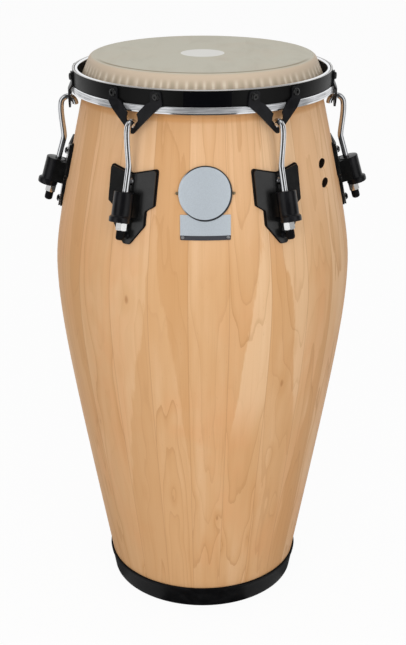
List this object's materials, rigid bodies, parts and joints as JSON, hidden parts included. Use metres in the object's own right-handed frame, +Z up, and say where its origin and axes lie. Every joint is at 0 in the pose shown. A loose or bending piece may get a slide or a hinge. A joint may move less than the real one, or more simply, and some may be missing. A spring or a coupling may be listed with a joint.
{
  "type": "conga",
  "caption": "Tall barrel-shaped hand drum with a stave shell, tucked skin head, rounded steel rim with V brackets, and tuning hooks on bolted side plates.",
  "frame": {"origin": "on the drum's axis, at the floor under the foot ring", "axes": "+Z up along the drum's axis; -Y is the front with the badge; +X is the drum's right side as seen from the front"},
  "size_m": [0.4414, 0.3996, 0.762],
  "materials": {
    "wood": "natural satin lacquer over light hardwood staves",
    "skin": "matt grey-beige drum skin, tanned towards the collar",
    "chrome": "polished chrome plate",
    "black_steel": "satin black powder coat",
    "black_cast": "gloss black paint on cast metal",
    "black_rubber": "matt black rubber",
    "foot_rubber": "semi-matt black rubber",
    "badge_metal": "fine brushed",
    "nail_brass": "aged"
  },
  "bodies": {
    "shell": {"shell": "wood", "bottom_ring": "foot_rubber", "head_skin": "skin", "badge_disc": "badge_metal", "badge_plate": "badge_metal", "badge_nail_1": "nail_brass", "badge_nail_2": "nail_brass", "badge_nail_3": "nail_brass", "badge_nail_4": "nail_brass", "side_plate_1": "black_cast", "side_plate_2": "black_cast", "side_plate_3": "black_cast", "side_plate_4": "black_cast", "side_plate_5": "black_cast", "side_plate_6": "black_cast", "plate_gasket_1": "black_rubber", "plate_gasket_2": "black_rubber", "plate_gasket_3": "black_rubber", "plate_gasket_4": "black_rubber", "plate_gasket_5": "black_rubber", "plate_gasket_6": "black_rubber", "lug_barrel_1": "black_cast", "lug_barrel_2": "black_cast", "lug_barrel_3": "black_cast", "lug_barrel_4": "black_cast", "lug_barrel_5": "black_cast", "lug_barrel_6": "black_cast", "plate_screw_1": "black_steel", "plate_screw_2": "black_steel", "plate_screw_3": "black_steel", "plate_screw_4": "black_steel", "plate_screw_5": "black_steel", "plate_screw_6": "black_steel"},
    "rim": {"rim_hoop": "chrome", "rim_band": "black_steel", "flesh_hoop": "chrome", "v_bracket_1": "black_steel", "v_bracket_2": "black_steel", "v_bracket_3": "black_steel", "v_bracket_4": "black_steel", "v_bracket_5": "black_steel", "v_bracket_6": "black_steel"},
    "hook_1": {"tuning_hook_1": "chrome", "hook_cap_1": "black_rubber"},
    "nut_1": {"tuning_nut_1": "chrome"},
    "hook_2": {"tuning_hook_2": "chrome", "hook_cap_2": "black_rubber"},
    "nut_2": {"tuning_nut_2": "chrome"},
    "hook_3": {"tuning_hook_3": "chrome", "hook_cap_3": "black_rubber"},
    "nut_3": {"tuning_nut_3": "chrome"},
    "hook_4": {"tuning_hook_4": "chrome", "hook_cap_4": "black_rubber"},
    "nut_4": {"tuning_nut_4": "chrome"},
    "hook_5": {"tuning_hook_5": "chrome", "hook_cap_5": "black_rubber"},
    "nut_5": {"tuning_nut_5": "chrome"},
    "hook_6": {"tuning_hook_6": "chrome", "hook_cap_6": "black_rubber"},
    "nut_6": {"tuning_nut_6": "chrome"}
  },
  "joints": [
    {"name": "rim_travel", "type": "slide", "parent": "shell", "child": "rim", "axis": [0, 0, 1], "range_m": [-0.005, 0], "deforming": ["head_skin"]},
    {"name": "hook_slide_1", "type": "slide", "parent": "shell", "child": "hook_1", "axis": [0.142, 0.246, 0.9588], "range_m": [-0.0053, 0]},
    {"name": "nut_turn_1", "type": "hinge", "parent": "shell", "child": "nut_1", "pos_m": [-0.10179, -0.17631, 0.58735], "axis": [0.142, 0.246, 0.9588], "range_deg": [0, 1510]},
    {"name": "hook_slide_2", "type": "slide", "parent": "shell", "child": "hook_2", "axis": [-0.142, 0.246, 0.9588], "range_m": [-0.0053, 0]},
    {"name": "nut_turn_2", "type": "hinge", "parent": "shell", "child": "nut_2", "pos_m": [0.10179, -0.17631, 0.58735], "axis": [-0.142, 0.246, 0.9588], "range_deg": [0, 1510]},
    {"name": "hook_slide_3", "type": "slide", "parent": "shell", "child": "hook_3", "axis": [-0.284, 0, 0.9588], "range_m": [-0.0053, 0]},
    {"name": "nut_turn_3", "type": "hinge", "parent": "shell", "child": "nut_3", "pos_m": [0.20359, 0, 0.58735], "axis": [-0.284, 0, 0.9588], "range_deg": [0, 1510]},
    {"name": "hook_slide_4", "type": "slide", "parent": "shell", "child": "hook_4", "axis": [-0.142, -0.246, 0.9588], "range_m": [-0.0053, 0]},
    {"name": "nut_turn_4", "type": "hinge", "parent": "shell", "child": "nut_4", "pos_m": [0.10179, 0.17631, 0.58735], "axis": [-0.142, -0.246, 0.9588], "range_deg": [0, 1510]},
    {"name": "hook_slide_5", "type": "slide", "parent": "shell", "child": "hook_5", "axis": [0.142, -0.246, 0.9588], "range_m": [-0.0053, 0]},
    {"name": "nut_turn_5", "type": "hinge", "parent": "shell", "child": "nut_5", "pos_m": [-0.10179, 0.17631, 0.58735], "axis": [0.142, -0.246, 0.9588], "range_deg": [0, 1510]},
    {"name": "hook_slide_6", "type": "slide", "parent": "shell", "child": "hook_6", "axis": [0.284, 0, 0.9588], "range_m": [-0.0053, 0]},
    {"name": "nut_turn_6", "type": "hinge", "parent": "shell", "child": "nut_6", "pos_m": [-0.20359, 0, 0.58735], "axis": [0.284, 0, 0.9588], "range_deg": [0, 1510]}
  ],
  "couplings": [
    {"joint": "hook_slide_1", "follows": "rim_travel", "ratio": 1.0429},
    {"joint": "nut_turn_1", "follows": "rim_travel", "rad_per_m": -5242.4},
    {"joint": "hook_slide_2", "follows": "rim_travel", "ratio": 1.0429},
    {"joint": "nut_turn_2", "follows": "rim_travel", "rad_per_m": -5242.4},
    {"joint": "hook_slide_3", "follows": "rim_travel", "ratio": 1.0429},
    {"joint": "nut_turn_3", "follows": "rim_travel", "rad_per_m": -5242.4},
    {"joint": "hook_slide_4", "follows": "rim_travel", "ratio": 1.0429},
    {"joint": "nut_turn_4", "follows": "rim_travel", "rad_per_m": -5242.4},
    {"joint": "hook_slide_5", "follows": "rim_travel", "ratio": 1.0429},
    {"joint": "nut_turn_5", "follows": "rim_travel", "rad_per_m": -5242.4},
    {"joint": "hook_slide_6", "follows": "rim_travel", "ratio": 1.0429},
    {"joint": "nut_turn_6", "follows": "rim_travel", "rad_per_m": -5242.4}
  ]
}
